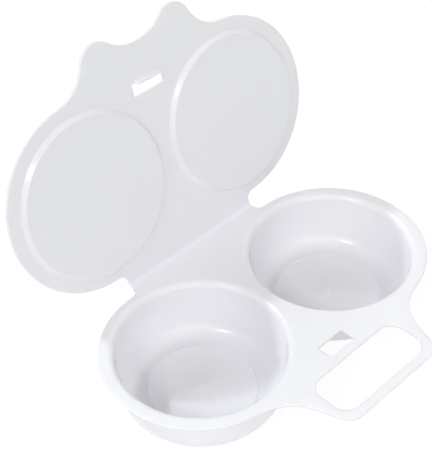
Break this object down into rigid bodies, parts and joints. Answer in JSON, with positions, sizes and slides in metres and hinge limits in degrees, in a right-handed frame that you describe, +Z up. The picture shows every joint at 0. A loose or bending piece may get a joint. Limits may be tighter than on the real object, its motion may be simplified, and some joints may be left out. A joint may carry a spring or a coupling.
{
  "type": "microwave egg cooker",
  "caption": "Shallow double-cup microwave egg cooker moulded in one piece: round cups in a flat flange with a finger handle, and a lid on a living hinge with a snap tongue.",
  "frame": {"origin": "on the table, under the middle of the open cooker: midway between the two sides, and midway between the far side of the handle and the back of the open lid, which is 4 mm behind the line through the cup centres", "axes": "+Z up, +X from the left cup to the right cup, -Y out through the handle, so the hinge line runs along X on the +Y side"},
  "size_m": [0.1766, 0.1585, 0.1389],
  "materials": {
    "white_polypropylene": "satin natural-white moulded polypropylene"
  },
  "bodies": {
    "tray": {"cup_tray": "white_polypropylene", "living_hinge": "white_polypropylene"},
    "lid": {"lid": "white_polypropylene"}
  },
  "joints": [
    {"name": "lid_hinge", "type": "hinge", "parent": "tray", "child": "lid", "pos_m": [0, 0.04645, 0.02908], "axis": [1, 0, 0], "range_deg": [-74, 106], "deforming": ["living_hinge"]}
  ]
}
